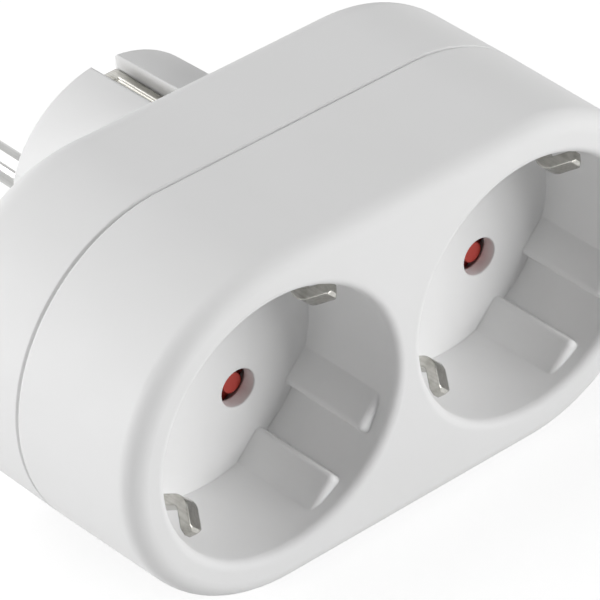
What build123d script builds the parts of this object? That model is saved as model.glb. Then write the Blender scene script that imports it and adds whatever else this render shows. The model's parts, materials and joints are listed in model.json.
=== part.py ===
"""Two-way earthed socket adapter: two recessed round sockets in a stadium-shaped housing, a plug behind.

Units are millimetres. X runs along the housing, +Z is up and +Y leaves the plug's face.
The origin is on the plug's axis, in the plane of its face. Depths count back from the housing's front face.
"""
import math
import os

from build123d import *

os.makedirs("parts", exist_ok=True)

# Housing
rim_width = 5.95
well_web = 4.1
front_draft = 0.4
body_depth = 41.7
seam_depth = 21.9
housing_wall = 2.0
rear_wall = 2.2
front_edge_radius = 2.6
rear_edge_radius = 5.0
seam_groove_width = 0.2
seam_groove_depth = 0.8
seam_edge_bevel = 0.6
tongue_height = 1.5
tongue_wall = 0.8
moulding_clearance = 0.1

# Sockets: a well with guide ribs, pin holes and clip slots
socket_turn = 45.0
well_radius = 19.1
well_depth = 17.5
well_rim_radius = 1.2
floor_thickness = 2.15
pin_pitch = 19.0
pin_hole_radius = 2.8
rib_height = 2.15
rib_gap = 6.6
rib_setback = 2.65
rib_end_radius = 0.8
rib_edge_radius = 0.8
rib_root = 0.4

# Plug body
plug_length = 19.0
plug_end_radius = 17.7
plug_draft = 0.5
plug_end_wall = 3.0
plug_wall = 2.7
plug_edge_bevel = 0.5
plug_slot_width = 4.5
plug_slot_depth = 3.1
plug_slot_wall = 1.8
rib_clearance = 0.35
guide_flat = 16.2
guide_flat_end = 10.5

# Plug pins
plug_pin_radius = 2.4
plug_pin_length = 19.0
plug_pin_tip_radius = 1.5
pin_shoulder = 0.25
pin_tail_radius = 1.4
pin_tail_head_radius = 2.2
pin_tail_head_height = 0.6
pin_boss_wall = 1.6
pin_boss_length = 9.0
press_clearance = 0.05

# Shutters: a sprung rotor behind each socket floor
shutter_room_margin = 1.2
shutter_room_depth = 3.2
shutter_clearance = 0.15
shutter_rim_clearance = 0.4
shutter_plate = 1.4
shutter_open_angle = 40.0
passage_clearance = 0.25
cam_radius = 1.5
cam_offset = 1.2
cam_slope = 12.0
post_radius = 2.0
post_clearance = 0.08
stop_radius = 0.9
stop_clearance = 0.2
stop_offset = 1.7
stop_angle = 60.0

# Shutter springs: flat spirals round the posts, in the backs of the hubs
spring_strip = 0.25
spring_height = 1.6
spring_offset = 0.45
spring_gap = 0.23
spring_half_turns = 5
spring_tab = 0.8
spring_tab_length = 0.9
spring_clearance = 0.1
spring_side_clearance = 0.45
hub_wall = 0.9

# Contact carrier
carrier_thickness = 1.6
carrier_clearance = 0.25
carrier_pin_clearance = 0.4
chimney_wall = 0.9
chimney_length = 7.5
chimney_clearance = 0.35

# Contact jaws and busbars
jaw_thickness = 0.6
jaw_width = 4.0
jaw_grip = 0.3
jaw_mouth_flare = 0.8
jaw_base_flare = 0.6
jaw_mouth_gap = 0.95
jaw_mouth_length = 3.6
jaw_bend_radius = 0.8
jaw_throat_radius = 1.5
busbar_thickness = 0.8
busbar_width = 3.6
busbar_shift = 0.48
busbar_end = 2.2
busbar_tab_radius = 3.0
jaw_rivet_radius = 1.0
jaw_rivet_head_radius = 1.6
rivet_head_height = 0.6

# Earth pieces
earth_post_length = 4.55
earth_post_radius = 1.8
earth_plate_thickness = 0.8
earth_rail_width = 4.0
earth_bridge_width = 4.6
clip_thickness = 1.5
clip_width = 2.5
clip_leg_inset = 0.9
clip_foot_margin = 1.6
clip_bend_rise = 3.6
clip_hump_inset = 4.3
clip_hump_depth = 7.65
clip_tip_inset = 1.3
clip_tip_depth = 4.2
clip_foot_bend = 0.8
clip_floor_bend = 3.0
clip_hump_bend = 1.7
clip_corner_bevel = 0.7
clip_tip_bevel = 0.4
clip_slot_clearance = 0.25
strip_thickness = 0.8
strip_width = 4.0
strip_foot_length = 5.2
strip_rivet_offset = 3.2
strip_bend = 1.0
strip_end_setback = 0.4
strip_groove_width = 1.5
strip_groove_depth = 0.3
strip_groove_margin = 1.8
strip_hole_clearance = 0.15
earth_rivet_radius = 0.9
earth_rivet_head_radius = 1.2

# Housing screws
screw_shank_radius = 1.45
screw_tip_gap = 3.45
screw_head_radius = 2.7
screw_head_height = 1.9
screw_head_edge = 0.6
screw_cross_width = 0.8
screw_cross_length = 3.0
screw_cross_depth = 1.1
screw_recess_depth = 3.4
screw_recess_clearance = 0.25
screw_hole_clearance = 0.1
boss_wall = 1.15
boss_margin = 0.25
boss_reach = 7.9
boss_gap = 0.2
boss_floor = 1.2
column_wall = 1.15
support_post_radius = 2.2
support_post_margin = 1.2

# Depths of the layers, from the front face
front_y = -(plug_length + body_depth)
floor_back = well_depth + floor_thickness
room_back = floor_back + shutter_room_depth
cavity_start = min(room_back, seam_depth - tongue_height - moulding_clearance)
carrier_back = room_back + carrier_thickness
earth_plate_depth = carrier_back + earth_post_length
earth_plate_back = earth_plate_depth + earth_plate_thickness
rear_inside = body_depth - rear_wall
busbar_front = rear_inside - busbar_thickness
jaw_base = busbar_front - jaw_thickness
jaw_mouth_depth = carrier_back + jaw_mouth_gap
jaw_throat_depth = jaw_mouth_depth + jaw_mouth_length
plug_face = body_depth + plug_length
plug_inside = plug_face - plug_end_wall
strip_end = plug_face - strip_end_setback
boss_end_depth = seam_depth + boss_reach
boss_bottom = floor_back + boss_floor
screw_seat = body_depth - screw_recess_depth
screw_end = boss_bottom + screw_tip_gap

# Radii and places across the housing
housing_radius = well_radius + rim_width
socket_pitch = 2 * well_radius + well_web
socket_x = socket_pitch / 2
socket_centres = [(-socket_x, 0), (socket_x, 0)]
pin_angle = -socket_turn
clip_angle = 90 - socket_turn
front_taper = math.degrees(math.atan(front_draft / seam_depth))
plug_root_radius = plug_end_radius + plug_draft
plug_hollow_radius = plug_end_radius - plug_wall
plug_slot_floor = plug_end_radius - plug_slot_depth
cavity_radius = housing_radius - housing_wall
tongue_radius = cavity_radius - moulding_clearance
core_radius = tongue_radius - tongue_wall - moulding_clearance
carrier_radius = tongue_radius - tongue_wall - carrier_clearance
rib_distance = well_radius - rib_height
pin_shank_radius = plug_pin_radius - pin_shoulder
passage_radius = pin_hole_radius + passage_clearance
carrier_pin_radius = pin_hole_radius + carrier_pin_clearance
shutter_room_radius = pin_pitch / 2 + pin_hole_radius + shutter_room_margin
shutter_radius = shutter_room_radius - shutter_rim_clearance
cam_distance = pin_pitch / 2 + cam_offset
spring_inner = post_radius + spring_offset
spring_growth = (spring_strip + spring_gap) / 2
spring_outer = spring_inner + (spring_half_turns - 1) * spring_growth
spring_room_radius = spring_outer + spring_strip / 2 + spring_side_clearance
spring_room_depth = spring_height + 2 * spring_clearance
tab_hole = (spring_strip + 2 * spring_clearance, spring_tab + 2 * spring_clearance)
hub_radius = spring_room_radius + hub_wall
stop_distance = hub_radius + stop_offset
jaw_half_throat = plug_pin_radius + jaw_thickness / 2 - jaw_grip
jaw_half_mouth = jaw_half_throat + jaw_mouth_flare
jaw_half_base = jaw_half_throat + jaw_base_flare
clip_leg_radius = well_radius - clip_leg_inset
clip_hump_radius = well_radius - clip_hump_inset
clip_tip_radius = well_radius - clip_tip_inset
clip_rivet_nearest = clip_leg_radius + clip_thickness / 2 + earth_rivet_head_radius
clip_rivet_farthest = cavity_radius - earth_rail_width / 2
clip_rivet_radius = (clip_rivet_nearest + clip_rivet_farthest) / 2
strip_middle = plug_slot_floor + strip_thickness / 2
strip_rivet = strip_middle - strip_rivet_offset
screw_recess_radius = screw_head_radius + screw_recess_clearance
screw_hole_radius = screw_shank_radius + screw_hole_clearance
boss_radius = screw_hole_radius + boss_wall
column_radius = screw_recess_radius + column_wall
screw_distance = socket_x + shutter_room_radius + boss_radius + boss_margin
screw_places = [(-screw_distance, 0), (screw_distance, 0)]
support_post_height = carrier_radius - support_post_radius - support_post_margin
support_places = [(-socket_x, support_post_height), (socket_x, -support_post_height)]
pin_rise = pin_pitch / 2 * math.sin(math.radians(socket_turn))
pin_run = pin_pitch / 2 * math.cos(math.radians(socket_turn))
clip_rivet_rise = clip_rivet_radius * math.sin(math.radians(clip_angle))
clip_rivet_run = clip_rivet_radius * math.cos(math.radians(clip_angle))
rail_places = [(clip_rivet_run, clip_rivet_rise), (-clip_rivet_run, -clip_rivet_rise)]
strip_rivet_places = [(0, strip_rivet), (0, -strip_rivet)]

# Jaws and clips by name, each at its place across the housing
jaw_places = {
    "left_upper": (-socket_x - pin_run, pin_rise),
    "left_lower": (-socket_x + pin_run, -pin_rise),
    "right_upper": (socket_x - pin_run, pin_rise),
    "right_lower": (socket_x + pin_run, -pin_rise),
}
clip_places = {
    "left_upper": (-socket_x, clip_angle),
    "left_lower": (-socket_x, clip_angle + 180),
    "right_upper": (socket_x, clip_angle),
    "right_lower": (socket_x, clip_angle + 180),
}
clip_rivet_places = [
    (-socket_x + clip_rivet_run, clip_rivet_rise),
    (-socket_x - clip_rivet_run, -clip_rivet_rise),
    (socket_x + clip_rivet_run, clip_rivet_rise),
    (socket_x - clip_rivet_run, -clip_rivet_rise),
]


def at_depth(depth):
    """Plane facing the front at this depth; its x runs along X and its y along Z."""
    return Plane.XZ.offset(-(front_y + depth))


def section_plane(x, angle):
    """Plane through the line x, z = 0 along Y: its x runs outwards at the angle, its y is the depth."""
    turn = math.radians(angle)
    outwards = (math.cos(turn), 0, math.sin(turn))
    across = (-math.sin(turn), 0, math.cos(turn))
    return Plane(origin=(x, front_y, 0), x_dir=outwards, z_dir=across)


# Guide ribs of one well: flat faces either side of the pin line, open in the middle, rounded at the front
with BuildPart() as well_ribs:
    rib_depth = well_depth + rib_root - rib_setback
    rib_width = well_radius + rib_root - rib_distance
    with BuildSketch(section_plane(0, pin_angle)) as rib_section:
        with GridLocations(2 * rib_distance + rib_width, 0, 2, 1):
            with Locations((0, rib_setback + rib_depth / 2)):
                Rectangle(rib_width, rib_depth)
        front_corners = rib_section.vertices().group_by(Axis.Y)[0]
        fillet(front_corners.sort_by(lambda corner: abs(corner.X))[:2], radius=rib_end_radius)
    extrude(amount=well_radius, both=True)
    with BuildSketch(at_depth(0)):
        Rectangle(2 * (well_radius + rib_root), rib_gap, rotation=pin_angle)
    extrude(amount=-(well_depth + rib_root), mode=Mode.SUBTRACT)
    with BuildSketch(at_depth(0)):
        Circle(well_radius + rib_root)
    extrude(amount=-(well_depth + rib_root), mode=Mode.INTERSECT)
    gap_edges = well_ribs.edges().filter_by(Axis.Y)
    inner_edges = gap_edges.sort_by(lambda edge: edge.center().X ** 2 + edge.center().Z ** 2)[:4]
    fillet(inner_edges, radius=rib_edge_radius)

# Front half of the housing, with both wells
with BuildPart() as front_cover:
    with BuildSketch(at_depth(seam_depth)):
        SlotCenterToCenter(socket_pitch, 2 * housing_radius)
    extrude(amount=seam_depth, taper=front_taper)
    fillet(front_cover.edges().group_by(Axis.Y)[0], radius=front_edge_radius)
    # core up to the carrier, with a rebate round it for the rear half's tongue
    with BuildSketch(at_depth(seam_depth)):
        SlotCenterToCenter(socket_pitch, 2 * cavity_radius)
    extrude(amount=seam_depth - cavity_start, mode=Mode.SUBTRACT)
    with BuildSketch(at_depth(well_depth)):
        SlotCenterToCenter(socket_pitch, 2 * core_radius)
    extrude(amount=-(room_back - well_depth))
    with BuildSketch(at_depth(0)):
        with Locations(*socket_centres):
            Circle(well_radius)
    extrude(amount=-well_depth, mode=Mode.SUBTRACT)
    rims = front_cover.edges().filter_by(GeomType.CIRCLE).group_by(Axis.Y)[0]
    fillet(rims.filter_by(lambda rim: abs(rim.radius - well_radius) < rib_root), radius=well_rim_radius)
    with Locations((-socket_x, 0, 0), (socket_x, 0, 0)):
        add(well_ribs.part)
    # shutter rooms behind the floors, with a post and a stop in each
    with BuildSketch(at_depth(floor_back)):
        with Locations(*socket_centres):
            Circle(shutter_room_radius)
    extrude(amount=-shutter_room_depth, mode=Mode.SUBTRACT)
    with BuildSketch(at_depth(floor_back)):
        with Locations(*socket_centres):
            Circle(post_radius)
    extrude(amount=-(shutter_room_depth + carrier_thickness - moulding_clearance))
    with BuildSketch(at_depth(floor_back)):
        with Locations(*socket_centres):
            with PolarLocations(stop_distance, 1, start_angle=stop_angle):
                Circle(stop_radius)
    extrude(amount=-(shutter_room_depth - moulding_clearance))
    # pin holes and clip slots through the floors
    with BuildSketch(at_depth(well_depth)):
        with Locations(*socket_centres):
            with PolarLocations(pin_pitch / 2, 2, start_angle=pin_angle):
                Circle(pin_hole_radius)
    extrude(amount=-floor_thickness, mode=Mode.SUBTRACT)
    with BuildSketch(at_depth(well_depth)):
        with Locations(*socket_centres):
            with PolarLocations(clip_leg_radius, 2, start_angle=clip_angle):
                Rectangle(clip_thickness + 2 * clip_slot_clearance, clip_width + 2 * clip_slot_clearance)
    extrude(amount=-(room_back - well_depth), mode=Mode.SUBTRACT)
    # screw bosses, bored blind from the back
    with BuildSketch(at_depth(floor_back)):
        with Locations(*screw_places):
            Circle(boss_radius)
    extrude(amount=-(boss_end_depth - floor_back))
    with BuildSketch(at_depth(boss_bottom)):
        with Locations(*screw_places):
            Circle(screw_hole_radius)
    extrude(amount=-(boss_end_depth - boss_bottom), mode=Mode.SUBTRACT)
front_cover.part.label = "front_cover"
export_step(front_cover.part, "parts/front_cover.step")

# Rear half of the housing, with the plug's body
with BuildPart() as rear_housing:
    with BuildSketch(at_depth(seam_depth)):
        SlotCenterToCenter(socket_pitch, 2 * housing_radius)
    extrude(amount=-(body_depth - seam_depth))
    fillet(rear_housing.edges().group_by(Axis.Y)[-1], radius=rear_edge_radius)
    chamfer(rear_housing.edges().group_by(Axis.Y)[0], length=seam_edge_bevel)
    with BuildSketch(Plane.XY):
        with BuildLine():
            Polyline(
                (0, -plug_length),
                (plug_root_radius, -plug_length),
                (plug_end_radius, -plug_edge_bevel),
                (plug_end_radius - plug_edge_bevel, 0),
                (0, 0),
                close=True,
            )
        make_face()
    revolve(axis=Axis.Y)
    # flats either side of a rib on the plug's pin line, for the guide ribs of a wall socket
    flat_start = rib_gap / 2 - rib_clearance
    with BuildSketch(at_depth(body_depth)):
        with GridLocations(2 * plug_root_radius, guide_flat_end + flat_start, 2, 2):
            Rectangle(2 * (plug_root_radius - guide_flat), guide_flat_end - flat_start)
    extrude(amount=-plug_length, mode=Mode.SUBTRACT)
    # slots for the earth strips, open at the plug's face
    with BuildSketch(at_depth(body_depth)):
        with GridLocations(0, plug_slot_floor + plug_root_radius, 1, 2):
            Rectangle(plug_slot_width, plug_root_radius - plug_slot_floor)
    extrude(amount=-plug_length, mode=Mode.SUBTRACT)
    # hollows of the body and the plug
    with BuildSketch(at_depth(seam_depth)):
        SlotCenterToCenter(socket_pitch, 2 * cavity_radius)
    extrude(amount=-(rear_inside - seam_depth), mode=Mode.SUBTRACT)
    with BuildSketch(at_depth(rear_inside)):
        Circle(plug_hollow_radius)
        Rectangle(2 * plug_hollow_radius, 2 * (plug_slot_floor - plug_slot_wall), mode=Mode.INTERSECT)
    extrude(amount=-(plug_inside - rear_inside), mode=Mode.SUBTRACT)
    # passages for the earth strips through the rear wall
    with BuildSketch(at_depth(rear_inside)):
        with GridLocations(0, 2 * strip_middle, 1, 2):
            Rectangle(strip_width + 2 * strip_hole_clearance, strip_thickness + 2 * strip_hole_clearance)
    extrude(amount=-rear_wall, mode=Mode.SUBTRACT)
    # pin bosses inside the plug's face
    with BuildSketch(at_depth(plug_inside)):
        with GridLocations(pin_pitch, 0, 2, 1):
            Circle(pin_shank_radius + press_clearance + pin_boss_wall)
    extrude(amount=pin_boss_length)
    with BuildSketch(at_depth(plug_face)):
        with GridLocations(pin_pitch, 0, 2, 1):
            Circle(pin_shank_radius + press_clearance)
    extrude(amount=plug_end_wall + pin_boss_length, mode=Mode.SUBTRACT)
    # screw columns and the posts that press on the carrier
    with BuildSketch(at_depth(rear_inside)):
        with Locations(*screw_places):
            Circle(column_radius)
    extrude(amount=rear_inside - boss_end_depth - boss_gap)
    with BuildSketch(at_depth(body_depth)):
        with Locations(*screw_places):
            Circle(screw_recess_radius)
    extrude(amount=screw_recess_depth, mode=Mode.SUBTRACT)
    with BuildSketch(at_depth(screw_seat)):
        with Locations(*screw_places):
            Circle(screw_hole_radius)
    extrude(amount=screw_seat - boss_end_depth - boss_gap, mode=Mode.SUBTRACT)
    with BuildSketch(at_depth(rear_inside)):
        with Locations(*support_places):
            Circle(support_post_radius)
    extrude(amount=rear_inside - carrier_back)
    # posts that press the earth plate's rails on the carrier
    with BuildSketch(at_depth(rear_inside)):
        with Locations(*rail_places):
            Circle(earth_post_radius)
    extrude(amount=rear_inside - earth_plate_back)
    # groove at the seam, and the tongue that enters the front cover
    with BuildSketch(at_depth(seam_depth)):
        SlotCenterToCenter(socket_pitch, 2 * housing_radius)
        SlotCenterToCenter(socket_pitch, 2 * (housing_radius - seam_groove_depth), mode=Mode.SUBTRACT)
    extrude(amount=-seam_groove_width, mode=Mode.SUBTRACT)
    with BuildSketch(at_depth(seam_depth + tongue_height)):
        SlotCenterToCenter(socket_pitch, 2 * cavity_radius)
        SlotCenterToCenter(socket_pitch, 2 * (tongue_radius - tongue_wall), mode=Mode.SUBTRACT)
    extrude(amount=tongue_height)
    with BuildSketch(at_depth(seam_depth)):
        SlotCenterToCenter(socket_pitch, 2 * tongue_radius)
        SlotCenterToCenter(socket_pitch, 2 * (tongue_radius - tongue_wall), mode=Mode.SUBTRACT)
    extrude(amount=tongue_height)
rear_housing.part.label = "rear_housing"
export_step(rear_housing.part, "parts/rear_housing.step")

# Plug pins: the exposed pin, its shank through the plug's face and the tail riveted over on the busbar
for side, name in ((-1, "left"), (1, "right")):
    pin_axis = Plane(origin=(side * pin_pitch / 2, 0, 0))
    shank_end = front_y + rear_inside
    tail_end = front_y + busbar_front
    with BuildPart() as plug_pin:
        with BuildSketch(pin_axis):
            with BuildLine():
                Polyline(
                    (0, plug_pin_length),
                    (plug_pin_radius, plug_pin_length),
                    (plug_pin_radius, 0),
                    (pin_shank_radius, 0),
                    (pin_shank_radius, shank_end),
                    (pin_tail_radius, shank_end),
                    (pin_tail_radius, tail_end),
                    (pin_tail_head_radius, tail_end),
                    (pin_tail_head_radius, tail_end - pin_tail_head_height),
                    (0, tail_end - pin_tail_head_height),
                    close=True,
                )
            make_face()
        revolve(axis=Axis(pin_axis.origin, (0, 1, 0)))
        fillet(plug_pin.edges().group_by(Axis.Y)[-1], radius=plug_pin_tip_radius)
    plug_pin.part.label = f"plug_pin_{name}"
    export_step(plug_pin.part, f"parts/plug_pin_{name}.step")

# Busbars: each joins one jaw of both sockets and has a tab to one plug pin
for side, name, jaws in ((1, "live_busbar", ("left_upper", "right_upper")),
                         (-1, "neutral_busbar", ("right_lower", "left_lower"))):
    bar_height = side * (pin_rise + busbar_shift)
    tab_x = -side * pin_pitch / 2
    with BuildPart() as busbar:
        with BuildSketch(at_depth(busbar_front)):
            with Locations((-side * pin_run, bar_height)):
                Rectangle(socket_pitch + 2 * busbar_end, busbar_width)
            with Locations((tab_x, bar_height / 2)):
                Rectangle(2 * busbar_tab_radius, abs(bar_height))
            with Locations((tab_x, 0)):
                Circle(busbar_tab_radius)
                Circle(pin_tail_radius + press_clearance, mode=Mode.SUBTRACT)
            with Locations(*[jaw_places[jaw] for jaw in jaws]):
                Circle(jaw_rivet_radius + press_clearance, mode=Mode.SUBTRACT)
        extrude(amount=-busbar_thickness)
    busbar.part.label = name
    export_step(busbar.part, f"parts/{name}.step")

# Contact jaws: sprung strips bent to a narrow throat, riveted to the busbars
for place, (jaw_x, jaw_z) in jaw_places.items():
    base_middle = jaw_base + jaw_thickness / 2
    with BuildPart() as contact_jaw:
        with BuildSketch(Plane(origin=(jaw_x, front_y, jaw_z))):
            with BuildLine():
                FilletPolyline(
                    (-jaw_half_mouth, jaw_mouth_depth),
                    (-jaw_half_throat, jaw_throat_depth),
                    (-jaw_half_base, base_middle),
                    (jaw_half_base, base_middle),
                    (jaw_half_throat, jaw_throat_depth),
                    (jaw_half_mouth, jaw_mouth_depth),
                    radius=[jaw_throat_radius, jaw_bend_radius, jaw_bend_radius, jaw_throat_radius],
                )
            trace(line_width=jaw_thickness)
        extrude(amount=jaw_width / 2, both=True)
        with BuildSketch(at_depth(jaw_base)):
            with Locations((jaw_x, jaw_z)):
                Circle(jaw_rivet_radius + press_clearance)
        extrude(amount=-jaw_thickness, mode=Mode.SUBTRACT)
    contact_jaw.part.label = f"contact_jaw_{place}"
    export_step(contact_jaw.part, f"parts/contact_jaw_{place}.step")

# Rivets of the jaws
with BuildPart() as jaw_rivets:
    with BuildSketch(at_depth(jaw_base)):
        with Locations(*jaw_places.values()):
            Circle(jaw_rivet_head_radius)
    extrude(amount=rivet_head_height)
    with BuildSketch(at_depth(jaw_base)):
        with Locations(*jaw_places.values()):
            Circle(jaw_rivet_radius)
    extrude(amount=-(jaw_thickness + busbar_thickness))
jaw_rivets.part.label = "jaw_rivets"
export_step(jaw_rivets.part, "parts/jaw_rivets.step")

# Earth plate: two rails across the clips' feet, joined by a bridge behind the plug's axis
with BuildPart() as earth_plate:
    with BuildSketch(at_depth(earth_plate_depth)):
        with Locations(*rail_places):
            SlotCenterToCenter(socket_pitch, earth_rail_width)
        Rectangle(earth_bridge_width, 2 * clip_rivet_rise)
        with Locations(*clip_rivet_places, *strip_rivet_places):
            Circle(earth_rivet_radius + press_clearance, mode=Mode.SUBTRACT)
    extrude(amount=-earth_plate_thickness)
earth_plate.part.label = "earth_plate"
export_step(earth_plate.part, "parts/earth_plate.step")

# Earth clips: spring strips bent into the wells, each with a foot on the earth plate
foot_middle = earth_plate_depth - clip_thickness / 2
for place, (clip_x, angle) in clip_places.items():
    clip_plane = section_plane(clip_x, angle)
    rivet_point = clip_plane.from_local_coords((clip_rivet_radius, earth_plate_depth, 0))
    with BuildPart() as earth_clip:
        with BuildSketch(clip_plane):
            with BuildLine():
                FilletPolyline(
                    (clip_rivet_radius + clip_foot_margin, foot_middle),
                    (clip_leg_radius, foot_middle),
                    (clip_leg_radius, well_depth - clip_bend_rise),
                    (clip_hump_radius, clip_hump_depth),
                    (clip_tip_radius, clip_tip_depth),
                    radius=[clip_foot_bend, clip_floor_bend, clip_hump_bend],
                )
            trace(line_width=clip_thickness)
        extrude(amount=clip_width / 2, both=True)
        tip_edges = earth_clip.faces().sort_by(Axis.Y)[0].edges()
        chamfer(tip_edges.sort_by(lambda edge: edge.length)[:2], length=clip_corner_bevel)
        tip_edges = earth_clip.faces().sort_by(Axis.Y)[0].edges()
        chamfer(tip_edges.sort_by(Axis.Y)[0], length=clip_tip_bevel)
        with BuildSketch(at_depth(earth_plate_depth)):
            with Locations((rivet_point.X, rivet_point.Z)):
                Circle(earth_rivet_radius + press_clearance)
        extrude(amount=clip_thickness, mode=Mode.SUBTRACT)
    earth_clip.part.label = f"earth_clip_{place}"
    export_step(earth_clip.part, f"parts/earth_clip_{place}.step")

# Earth strips of the plug: a foot on the earth plate and a grooved strip along the plug's slot
for angle, name in ((90, "upper"), (-90, "lower")):
    strip_plane = section_plane(0, angle)
    strip_foot_middle = earth_plate_back + strip_thickness / 2
    groove_start = body_depth
    groove_end = strip_end - strip_groove_margin
    with BuildPart() as earth_strip:
        with BuildSketch(strip_plane):
            with BuildLine():
                FilletPolyline(
                    (strip_middle - strip_foot_length, strip_foot_middle),
                    (strip_middle, strip_foot_middle),
                    (strip_middle, strip_end),
                    radius=strip_bend,
                )
            trace(line_width=strip_thickness)
        extrude(amount=strip_width / 2, both=True)
        with BuildSketch(strip_plane):
            with Locations((strip_middle + strip_thickness / 2, (groove_start + groove_end) / 2)):
                Rectangle(2 * strip_groove_depth, groove_end - groove_start)
        extrude(amount=strip_groove_width / 2, both=True, mode=Mode.SUBTRACT)
        with BuildSketch(at_depth(earth_plate_back)):
            with Locations((0, strip_rivet * math.sin(math.radians(angle)))):
                Circle(earth_rivet_radius + press_clearance)
        extrude(amount=-strip_thickness, mode=Mode.SUBTRACT)
    earth_strip.part.label = f"plug_earth_strip_{name}"
    export_step(earth_strip.part, f"parts/plug_earth_strip_{name}.step")

# Rivets of the earth pieces: heads in front of the clips' feet and behind the strips' feet
with BuildPart() as earth_rivets:
    with BuildSketch(at_depth(earth_plate_depth - clip_thickness)):
        with Locations(*clip_rivet_places):
            Circle(earth_rivet_head_radius)
    extrude(amount=rivet_head_height)
    with BuildSketch(at_depth(earth_plate_depth - clip_thickness)):
        with Locations(*clip_rivet_places):
            Circle(earth_rivet_radius)
    extrude(amount=-(clip_thickness + earth_plate_thickness))
    with BuildSketch(at_depth(earth_plate_back + strip_thickness)):
        with Locations(*strip_rivet_places):
            Circle(earth_rivet_head_radius)
    extrude(amount=-rivet_head_height)
    with BuildSketch(at_depth(earth_plate_back + strip_thickness)):
        with Locations(*strip_rivet_places):
            Circle(earth_rivet_radius)
    extrude(amount=strip_thickness + earth_plate_thickness)
earth_rivets.part.label = "earth_rivets"
export_step(earth_rivets.part, "parts/earth_rivets.step")

# Shutters and their springs: a rotor with two cams behind the pin holes and two passages beside them
shutter_front = floor_back + shutter_clearance
shutter_back = room_back - shutter_clearance
plate_front = shutter_back - shutter_plate
spring_back = shutter_back - spring_clearance
spring_front = spring_back - spring_height
cam_lean = math.radians(cam_slope)
stop_slot_radius = stop_radius + stop_clearance
stop_start = stop_angle - shutter_open_angle
for side, name in ((-1, "left"), (1, "right")):
    axis_x = side * socket_x
    inner_tab = (axis_x + spring_inner, spring_tab / 2)
    outer_tab = (axis_x - spring_outer, spring_tab / 2)
    with BuildPart() as spring:
        with BuildSketch(at_depth(spring_back)):
            with BuildLine():
                for half_turn in range(spring_half_turns):
                    odd = half_turn % 2
                    arc_radius = spring_inner + half_turn * spring_growth
                    CenterArc((axis_x + odd * spring_growth, 0), arc_radius, odd * 180, 180)
            trace(line_width=spring_strip)
        extrude(amount=spring_height)
        with BuildSketch(at_depth(spring_front)):
            with Locations(inner_tab):
                Rectangle(spring_strip, spring_tab)
        extrude(amount=-(spring_height + spring_tab_length))
        with BuildSketch(at_depth(spring_back)):
            with Locations(outer_tab):
                Rectangle(spring_strip, spring_tab)
        extrude(amount=spring_height + spring_tab_length)
    spring.part.label = f"shutter_spring_{name}"
    export_step(spring.part, f"parts/shutter_spring_{name}.step")

    with BuildPart() as shutter:
        with BuildSketch(at_depth(shutter_back)):
            with Locations((axis_x, 0)):
                Circle(shutter_radius)
        extrude(amount=shutter_plate)
        with BuildSketch(at_depth(plate_front)):
            with Locations((axis_x, 0)):
                Circle(hub_radius)
                with PolarLocations(cam_distance, 2, start_angle=pin_angle):
                    Circle(cam_radius)
        extrude(amount=plate_front - shutter_front)
        # slanted cam faces, so that a pin pushes the rotor round
        for cam_angle in (pin_angle, pin_angle + 180):
            cam_plane = section_plane(axis_x, cam_angle)
            cam_top = cam_plane.from_local_coords((cam_distance, shutter_front, cam_radius))
            cam_normal = cam_plane.z_dir * math.sin(cam_lean) + Vector(0, -math.cos(cam_lean), 0)
            with BuildSketch(Plane(origin=cam_top, z_dir=cam_normal)):
                Circle(3 * cam_radius)
            extrude(amount=2 * cam_radius, mode=Mode.SUBTRACT)
        # passages, bore and the arc slot for the stop
        with BuildSketch(at_depth(shutter_back)):
            with Locations((axis_x, 0)):
                with PolarLocations(pin_pitch / 2, 2, start_angle=pin_angle - shutter_open_angle):
                    Circle(passage_radius)
                Circle(post_radius + post_clearance)
            with Locations(outer_tab):
                Rectangle(*tab_hole)
            with BuildLine():
                CenterArc((axis_x, 0), stop_distance, stop_start, shutter_open_angle)
            trace(line_width=2 * stop_slot_radius)
            with Locations((axis_x, 0)):
                with PolarLocations(stop_distance, 2, stop_start, shutter_open_angle, endpoint=True):
                    Circle(stop_slot_radius)
        extrude(amount=shutter_back - shutter_front, mode=Mode.SUBTRACT)
        with BuildSketch(at_depth(shutter_back)):
            with Locations((axis_x, 0)):
                Circle(spring_room_radius)
        extrude(amount=spring_room_depth, mode=Mode.SUBTRACT)
    shutter.part.label = f"shutter_{name}"
    export_step(shutter.part, f"parts/shutter_{name}.step")

# Contact carrier: closes the shutter rooms, with walls round the jaws and posts for the earth plate
with BuildPart() as contact_carrier:
    with BuildSketch(at_depth(room_back)):
        SlotCenterToCenter(socket_pitch, 2 * carrier_radius)
    extrude(amount=-carrier_thickness)
    jaw_room_length = 2 * (jaw_half_mouth + jaw_thickness / 2 + chimney_clearance)
    jaw_room_width = 2 * max(jaw_width / 2 + chimney_clearance, carrier_pin_radius)
    with BuildSketch(at_depth(carrier_back)):
        with Locations(*jaw_places.values()):
            Rectangle(jaw_room_length + 2 * chimney_wall, jaw_room_width + 2 * chimney_wall)
            Rectangle(jaw_room_length, jaw_room_width, mode=Mode.SUBTRACT)
    extrude(amount=-chimney_length)
    with BuildSketch(at_depth(carrier_back)):
        with Locations((0, 0), *rail_places):
            Circle(earth_post_radius)
    extrude(amount=-earth_post_length)
    with BuildSketch(at_depth(room_back)):
        with Locations(*jaw_places.values()):
            Circle(carrier_pin_radius)
        with Locations(*screw_places):
            Circle(boss_radius + moulding_clearance)
        with Locations(*socket_centres):
            Circle(post_radius + post_clearance)
            with PolarLocations(clip_leg_radius, 2, start_angle=clip_angle):
                Rectangle(clip_thickness + 2 * clip_slot_clearance, clip_width + 2 * clip_slot_clearance)
            with Locations((spring_inner, spring_tab / 2)):
                Rectangle(*tab_hole)
    extrude(amount=-carrier_thickness, mode=Mode.SUBTRACT)
contact_carrier.part.label = "contact_carrier"
export_step(contact_carrier.part, "parts/contact_carrier.step")

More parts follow.
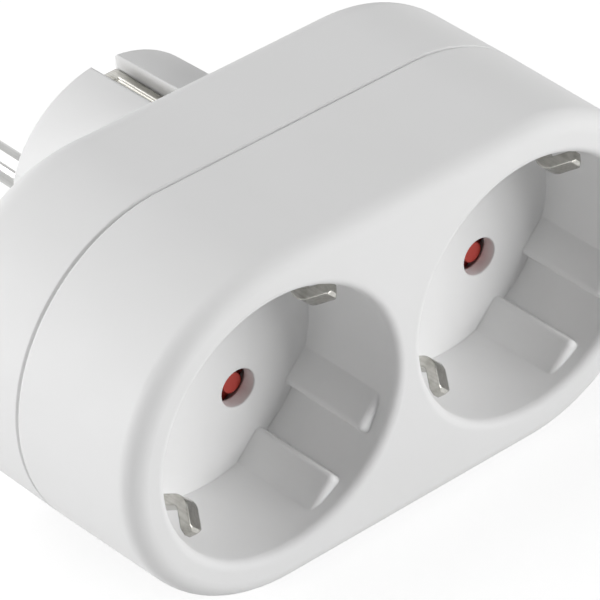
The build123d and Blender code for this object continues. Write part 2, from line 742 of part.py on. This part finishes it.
# Housing screws, put in from the back
with BuildPart() as housing_screws:
    with BuildSketch(at_depth(screw_seat)):
        with Locations(*screw_places):
            Circle(screw_head_radius)
    extrude(amount=-screw_head_height)
    fillet(housing_screws.edges().group_by(Axis.Y)[-1], radius=screw_head_edge)
    with BuildSketch(at_depth(screw_seat)):
        with Locations(*screw_places):
            Circle(screw_shank_radius)
    extrude(amount=screw_seat - screw_end)
    with BuildSketch(at_depth(screw_seat + screw_head_height)):
        with Locations(*screw_places):
            Rectangle(screw_cross_length, screw_cross_width)
            Rectangle(screw_cross_width, screw_cross_length)
    extrude(amount=screw_cross_depth, mode=Mode.SUBTRACT)
housing_screws.part.label = "housing_screws"
export_step(housing_screws.part, "parts/housing_screws.step")
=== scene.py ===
"""Looks, light and camera for the two-way socket adapter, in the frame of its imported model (metres)."""
import json
import math

import bpy
from mathutils import Matrix, Vector


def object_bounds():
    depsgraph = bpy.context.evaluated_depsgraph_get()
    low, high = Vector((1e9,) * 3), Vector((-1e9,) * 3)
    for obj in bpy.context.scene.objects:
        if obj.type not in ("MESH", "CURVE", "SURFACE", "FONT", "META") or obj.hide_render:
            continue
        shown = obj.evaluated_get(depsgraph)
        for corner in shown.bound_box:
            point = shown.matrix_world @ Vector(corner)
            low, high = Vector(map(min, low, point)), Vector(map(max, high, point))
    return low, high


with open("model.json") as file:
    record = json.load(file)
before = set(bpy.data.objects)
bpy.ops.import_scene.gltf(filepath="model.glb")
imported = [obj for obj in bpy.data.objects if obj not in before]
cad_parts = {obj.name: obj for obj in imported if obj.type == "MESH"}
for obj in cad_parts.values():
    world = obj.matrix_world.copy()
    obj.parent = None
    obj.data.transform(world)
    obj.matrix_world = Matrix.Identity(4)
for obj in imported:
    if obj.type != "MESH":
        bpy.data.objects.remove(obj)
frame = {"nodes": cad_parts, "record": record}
cad_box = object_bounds()
nodes_by_name = frame["nodes"]

# Camera, fitted to the housing's outline (degrees; lens and sensor in millimetres)
CAMERA_PLACE = Vector((-0.313401, -0.424276, 0.347655))
CAMERA_AZIMUTH = -39.132
CAMERA_ELEVATION = 35.155
CAMERA_ROLL = -3.121
CAMERA_LENS = 279.2
CAMERA_SENSOR = 36.0

# Light: a dim sky and three panels; azimuth 0 is in front and 90 at the right, power is in watts
SKY_STRENGTH = 0.14
PANEL_DISTANCE = 0.9
PANELS = {
    "left_panel": {"azimuth": -115, "elevation": 11, "width": 0.8, "height": 0.3, "power": 5.3},
    "front_panel": {"azimuth": 29, "elevation": 16, "width": 0.6, "height": 0.45, "power": 5.35},
    "top_panel": {"azimuth": -170, "elevation": 58, "width": 0.8, "height": 0.8, "power": 3.65},
}

# Rounding of the moulded edges, the stamped edges and the sprung strips
PLASTIC_EDGE = 0.0004
METAL_EDGE = 0.00015
STRIP_EDGE = 0.0004
EDGE_SAMPLES = 8

# Floor, a hair below the housing so that no two faces lie in one plane
FLOOR_SIZE = 2.4
FLOOR_GAP = 0.00005
FLOOR_GREY = 0.75
FLOOR_SEEN_GREY = 0.40
FLOOR_SEEN_GLOW = 0.75
FLOOR_FADE_START = 0.3
FLOOR_FADE_END = 0.8

# Sockets of a Mix node that mixes colours
MIX_AMOUNT = 0
MIX_FIRST = 6
MIX_SECOND = 7
MIX_RESULT = 2


# Node helpers
def grey(level):
    """Opaque colour of one grey level."""
    return (level, level, level, 1)


def new_group(name, inputs, outputs):
    """Shader node group with the named sockets; returns its tree, input node and output node."""
    tree = bpy.data.node_groups.new(name, "ShaderNodeTree")
    for label, kind in inputs:
        tree.interface.new_socket(label, in_out="INPUT", socket_type=kind)
    for label, kind in outputs:
        tree.interface.new_socket(label, in_out="OUTPUT", socket_type=kind)
    group_in = tree.nodes.new("NodeGroupInput")
    group_out = tree.nodes.new("NodeGroupOutput")
    return tree, group_in, group_out


def noise(tree, vector, scale, detail):
    """Noise texture on a vector; returns its value socket."""
    node = tree.nodes.new("ShaderNodeTexNoise")
    node.inputs["Scale"].default_value = scale
    node.inputs["Detail"].default_value = detail
    tree.links.new(vector, node.inputs["Vector"])
    return node.outputs["Fac"]


def stretched(tree, vector, factors):
    """The vector times three factors, so that a pattern runs along one axis."""
    node = tree.nodes.new("ShaderNodeVectorMath")
    node.operation = "MULTIPLY"
    node.inputs[1].default_value = factors
    tree.links.new(vector, node.inputs[0])
    return node.outputs["Vector"]


def ramp(tree, value, low, high):
    """The value, spread from low..high to 0..1 with soft ends."""
    node = tree.nodes.new("ShaderNodeMapRange")
    node.interpolation_type = "SMOOTHSTEP"
    node.inputs["From Min"].default_value = low
    node.inputs["From Max"].default_value = high
    tree.links.new(value, node.inputs["Value"])
    return node.outputs["Result"]


def math_node(tree, operation, first, second):
    """A Math node; each operand is a socket or a number."""
    node = tree.nodes.new("ShaderNodeMath")
    node.operation = operation
    for slot, operand in zip(node.inputs, (first, second)):
        if isinstance(operand, (int, float)):
            slot.default_value = operand
        else:
            tree.links.new(operand, slot)
    return node.outputs["Value"]


def mix_values(tree, first, second, share):
    """The first value, with a share of the second in it."""
    rest = math_node(tree, "MULTIPLY", first, 1 - share)
    return math_node(tree, "ADD", rest, math_node(tree, "MULTIPLY", second, share))


def mix_colours(tree, first, second, amount):
    """The first colour, with an amount of the second in it; all three are sockets."""
    node = tree.nodes.new("ShaderNodeMix")
    node.data_type = "RGBA"
    for place, source in ((MIX_AMOUNT, amount), (MIX_FIRST, first), (MIX_SECOND, second)):
        tree.links.new(source, node.inputs[place])
    return node.outputs[MIX_RESULT]


def uneven_gloss(tree, group_in, pattern):
    """The group's Roughness, raised by its Gloss Spread where the pattern is high."""
    spread = math_node(tree, "MULTIPLY", pattern, group_in.outputs["Gloss Spread"])
    return math_node(tree, "ADD", group_in.outputs["Roughness"], spread)


# Outputs that both finishes have
FINISH_OUTPUTS = [
    ("Colour", "NodeSocketColor"),
    ("Roughness", "NodeSocketFloat"),
    ("Height", "NodeSocketFloat"),
]


# Moulded plastic: slow flow marks in the colour, a fine eroded grain, shallow sinks and uneven gloss
def make_moulded_finish():
    inputs = [
        ("Vector", "NodeSocketVector"),
        ("Colour", "NodeSocketColor"),
        ("Flow Colour", "NodeSocketColor"),
        ("Flow Amount", "NodeSocketFloat"),
        ("Roughness", "NodeSocketFloat"),
        ("Gloss Spread", "NodeSocketFloat"),
    ]
    along_y = (1.0, 0.45, 1.0)
    grain_share = 0.35
    tree, group_in, group_out = new_group("moulded_finish", inputs, FINISH_OUTPUTS)
    vector = group_in.outputs["Vector"]
    marks = noise(tree, stretched(tree, vector, along_y), scale=55.0, detail=3.0)
    flow = ramp(tree, marks, low=0.3, high=0.7)
    amount = math_node(tree, "MULTIPLY", flow, group_in.outputs["Flow Amount"])
    colour = mix_colours(tree, group_in.outputs["Colour"], group_in.outputs["Flow Colour"], amount)
    tree.links.new(colour, group_out.inputs["Colour"])
    handled = ramp(tree, noise(tree, vector, scale=120.0, detail=4.0), low=0.25, high=0.75)
    tree.links.new(uneven_gloss(tree, group_in, handled), group_out.inputs["Roughness"])
    grain = noise(tree, vector, scale=2400.0, detail=2.0)
    sinks = noise(tree, vector, scale=190.0, detail=1.0)
    height = math_node(tree, "ADD", math_node(tree, "MULTIPLY", grain, grain_share), sinks)
    tree.links.new(height, group_out.inputs["Height"])
    return tree


# Stamped metal: drawing lines along the strip, patches and streaks of tarnish and uneven gloss
def make_stamped_metal():
    inputs = [
        ("Vector", "NodeSocketVector"),
        ("Colour", "NodeSocketColor"),
        ("Tarnish", "NodeSocketColor"),
        ("Tarnish Amount", "NodeSocketFloat"),
        ("Roughness", "NodeSocketFloat"),
        ("Gloss Spread", "NodeSocketFloat"),
    ]
    along_y = (1.0, 0.05, 1.0)
    tree, group_in, group_out = new_group("stamped_metal", inputs, FINISH_OUTPUTS)
    vector = group_in.outputs["Vector"]
    lines = noise(tree, stretched(tree, vector, along_y), scale=3200.0, detail=3.0)
    patches = ramp(tree, noise(tree, vector, scale=420.0, detail=4.0), low=0.42, high=0.72)
    streaks = ramp(tree, lines, low=0.35, high=0.65)
    stain = mix_values(tree, patches, streaks, share=0.4)
    amount = math_node(tree, "MULTIPLY", stain, group_in.outputs["Tarnish Amount"])
    colour = mix_colours(tree, group_in.outputs["Colour"], group_in.outputs["Tarnish"], amount)
    tree.links.new(colour, group_out.inputs["Colour"])
    worn = mix_values(tree, lines, patches, share=0.4)
    tree.links.new(uneven_gloss(tree, group_in, worn), group_out.inputs["Roughness"])
    tree.links.new(lines, group_out.inputs["Height"])
    return tree


# Rounded edge: the normal, bent over as if each sharp edge had a small round
def make_rounded_edge():
    tree, group_in, group_out = new_group(
        "rounded_edge", [("Radius", "NodeSocketFloat")], [("Normal", "NodeSocketVector")])
    edge = tree.nodes.new("ShaderNodeBevel")
    edge.samples = EDGE_SAMPLES
    tree.links.new(group_in.outputs["Radius"], edge.inputs["Radius"])
    tree.links.new(edge.outputs["Normal"], group_out.inputs["Normal"])
    return tree


moulded_finish = make_moulded_finish()
stamped_metal = make_stamped_metal()
rounded_edge = make_rounded_edge()


def make_finish(name, group, values, bump_height, edge_round, metallic=0.0, ior=1.5):
    """Material of one finish: its group on Object coordinates feeds colour, gloss and a fine bump."""
    material = bpy.data.materials.new(name)
    material.use_nodes = True
    tree = material.node_tree
    shader = tree.nodes["Principled BSDF"]
    shader.inputs["Metallic"].default_value = metallic
    shader.inputs["IOR"].default_value = ior
    place = tree.nodes.new("ShaderNodeTexCoord")
    finish = tree.nodes.new("ShaderNodeGroup")
    finish.node_tree = group
    edge = tree.nodes.new("ShaderNodeGroup")
    edge.node_tree = rounded_edge
    edge.inputs["Radius"].default_value = edge_round
    tree.links.new(place.outputs["Object"], finish.inputs["Vector"])
    for label, value in values.items():
        finish.inputs[label].default_value = value
    tree.links.new(finish.outputs["Colour"], shader.inputs["Base Color"])
    tree.links.new(finish.outputs["Roughness"], shader.inputs["Roughness"])
    bump = tree.nodes.new("ShaderNodeBump")
    bump.inputs["Distance"].default_value = bump_height
    tree.links.new(finish.outputs["Height"], bump.inputs["Height"])
    tree.links.new(edge.outputs["Normal"], bump.inputs["Normal"])
    tree.links.new(bump.outputs["Normal"], shader.inputs["Normal"])
    return material


housing_white = make_finish("housing_white", moulded_finish, {
    "Colour": (0.85, 0.85, 0.85, 1), "Flow Colour": (0.825, 0.825, 0.82, 1), "Flow Amount": 0.5,
    "Roughness": 0.60, "Gloss Spread": 0.10}, bump_height=0.00001, edge_round=PLASTIC_EDGE, ior=1.42)
carrier_cream = make_finish("carrier_cream", moulded_finish, {
    "Colour": (0.66, 0.63, 0.55, 1), "Flow Colour": (0.58, 0.55, 0.47, 1), "Flow Amount": 0.6,
    "Roughness": 0.46, "Gloss Spread": 0.12}, bump_height=0.000012, edge_round=PLASTIC_EDGE)
shutter_red = make_finish("shutter_red", moulded_finish, {
    "Colour": (0.57, 0.075, 0.058, 1), "Flow Colour": (0.48, 0.06, 0.046, 1), "Flow Amount": 0.7,
    "Roughness": 0.40, "Gloss Spread": 0.12}, bump_height=0.00001, edge_round=PLASTIC_EDGE)
nickel_plate = make_finish("nickel_plate", stamped_metal, {
    "Colour": (0.63, 0.62, 0.585, 1), "Tarnish": (0.26, 0.25, 0.215, 1), "Tarnish Amount": 0.6,
    "Roughness": 0.07, "Gloss Spread": 0.10}, bump_height=0.000004, edge_round=STRIP_EDGE, metallic=1.0)
pin_nickel = make_finish("pin_nickel", stamped_metal, {
    "Colour": (0.52, 0.52, 0.51, 1), "Tarnish": (0.36, 0.36, 0.35, 1), "Tarnish Amount": 0.5,
    "Roughness": 0.10, "Gloss Spread": 0.10}, bump_height=0.000003, edge_round=METAL_EDGE, metallic=1.0)
bare_brass = make_finish("bare_brass", stamped_metal, {
    "Colour": (0.72, 0.53, 0.25, 1), "Tarnish": (0.45, 0.29, 0.13, 1), "Tarnish Amount": 0.55,
    "Roughness": 0.24, "Gloss Spread": 0.2}, bump_height=0.000006, edge_round=METAL_EDGE, metallic=1.0)
zinc_plate = make_finish("zinc_plate", stamped_metal, {
    "Colour": (0.58, 0.59, 0.60, 1), "Tarnish": (0.40, 0.41, 0.43, 1), "Tarnish Amount": 0.5,
    "Roughness": 0.28, "Gloss Spread": 0.18}, bump_height=0.000006, edge_round=METAL_EDGE, metallic=1.0)
spring_blue = make_finish("spring_blue", stamped_metal, {
    "Colour": (0.44, 0.45, 0.48, 1), "Tarnish": (0.25, 0.24, 0.26, 1), "Tarnish Amount": 0.5,
    "Roughness": 0.26, "Gloss Spread": 0.16}, bump_height=0.000004, edge_round=METAL_EDGE, metallic=1.0)

# Finish of each CAD node, by its record slot; the plug's pins are polished
finish_of_slot = {
    "housing_plastic": housing_white,
    "carrier_plastic": carrier_cream,
    "shutter_plastic": shutter_red,
    "plated_brass": nickel_plate,
    "bare_brass": bare_brass,
    "screw_steel": zinc_plate,
    "spring_steel": spring_blue,
}
finish_of_node = {"plug_pin_left": pin_nickel, "plug_pin_right": pin_nickel}
for subpart in frame["record"]["subparts"]:
    name = subpart["node"]
    node = nodes_by_name[name]
    node.data.materials.clear()
    node.data.materials.append(finish_of_node.get(name, finish_of_slot[subpart["material_slot"]]))


# Rays that look at the floor or the sky, and don't only carry their light
def seen_rays(tree):
    """1 for rays from the camera or by way of gloss or glass, else 0."""
    path = tree.nodes.new("ShaderNodeLightPath")
    gloss = math_node(tree, "MAXIMUM", path.outputs["Is Camera Ray"], path.outputs["Is Glossy Ray"])
    return math_node(tree, "MAXIMUM", gloss, path.outputs["Is Transmission Ray"])


def rise_to_white(tree, start, progress):
    """A strength that goes from the start to 1 as the progress goes from 0 to 1."""
    rise = math_node(tree, "MULTIPLY", progress, 1.0 - start)
    return math_node(tree, "ADD", rise, start)


# Floor: pale for the light it throws back and near white where it is looked at, with the shadow kept;
# far from the part it is white, so that it has no horizon
def floor_glow(tree):
    """Glow of the floor, rising to white with the distance from its middle."""
    place = tree.nodes.new("ShaderNodeTexCoord")
    distance = tree.nodes.new("ShaderNodeVectorMath")
    distance.operation = "LENGTH"
    tree.links.new(place.outputs["Object"], distance.inputs[0])
    far = ramp(tree, distance.outputs["Value"], low=FLOOR_FADE_START, high=FLOOR_FADE_END)
    return rise_to_white(tree, FLOOR_SEEN_GLOW, far)


def make_floor():
    bpy.ops.object.select_all(action="DESELECT")
    bpy.ops.mesh.primitive_plane_add(size=FLOOR_SIZE, location=(0, 0, cad_box[0][2] - FLOOR_GAP))
    floor = bpy.context.object
    floor.name = "floor"
    material = bpy.data.materials.new("floor_pale")
    material.use_nodes = True
    tree = material.node_tree
    tree.nodes.remove(tree.nodes["Principled BSDF"])
    plain = tree.nodes.new("ShaderNodeBsdfDiffuse")
    plain.inputs["Color"].default_value = grey(FLOOR_GREY)
    shaded = tree.nodes.new("ShaderNodeBsdfDiffuse")
    shaded.inputs["Color"].default_value = grey(FLOOR_SEEN_GREY)
    glow = tree.nodes.new("ShaderNodeEmission")
    tree.links.new(floor_glow(tree), glow.inputs["Strength"])
    seen = tree.nodes.new("ShaderNodeAddShader")
    tree.links.new(shaded.outputs["BSDF"], seen.inputs[0])
    tree.links.new(glow.outputs["Emission"], seen.inputs[1])
    choice = tree.nodes.new("ShaderNodeMixShader")
    tree.links.new(seen_rays(tree), choice.inputs[0])
    tree.links.new(plain.outputs["BSDF"], choice.inputs[1])
    tree.links.new(seen.outputs["Shader"], choice.inputs[2])
    tree.links.new(choice.outputs["Shader"], tree.nodes["Material Output"].inputs["Surface"])
    floor.data.materials.append(material)


# Sky: white where it is looked at, a soft grey as light
def make_sky():
    world = bpy.data.worlds.new("studio")
    world.use_nodes = True
    tree = world.node_tree
    strength = rise_to_white(tree, SKY_STRENGTH, seen_rays(tree))
    background = tree.nodes["Background"]
    background.inputs["Color"].default_value = grey(1)
    tree.links.new(strength, background.inputs["Strength"])
    bpy.context.scene.world = world


# Panels: large soft lamps that face the object
def make_panel(name, azimuth, elevation, width, height, power):
    data = bpy.data.lights.new(name, "AREA")
    data.shape = "RECTANGLE"
    data.size = width
    data.size_y = height
    data.energy = power
    panel = bpy.data.objects.new(name, data)
    bpy.context.scene.collection.objects.link(panel)
    turn = math.radians(azimuth)
    rise = math.radians(elevation)
    level = math.cos(rise)
    direction = Vector((math.sin(turn) * level, -math.cos(turn) * level, math.sin(rise)))
    panel.location = direction * PANEL_DISTANCE
    panel.rotation_euler = direction.to_track_quat("Z", "Y").to_euler()


# Camera, turned by its azimuth, elevation and roll
def make_camera():
    data = bpy.data.cameras.new("camera")
    data.lens = CAMERA_LENS
    data.sensor_width = CAMERA_SENSOR
    camera = bpy.data.objects.new("camera", data)
    bpy.context.scene.collection.objects.link(camera)
    turn = (Matrix.Rotation(math.radians(CAMERA_AZIMUTH), 4, "Z")
            @ Matrix.Rotation(math.radians(90 - CAMERA_ELEVATION), 4, "X")
            @ Matrix.Rotation(math.radians(CAMERA_ROLL), 4, "Z"))
    camera.matrix_world = Matrix.Translation(CAMERA_PLACE) @ turn
    bpy.context.scene.camera = camera


make_floor()
make_sky()
for name, setting in PANELS.items():
    make_panel(name, **setting)
make_camera()
bpy.context.scene.view_settings.view_transform = "Standard"
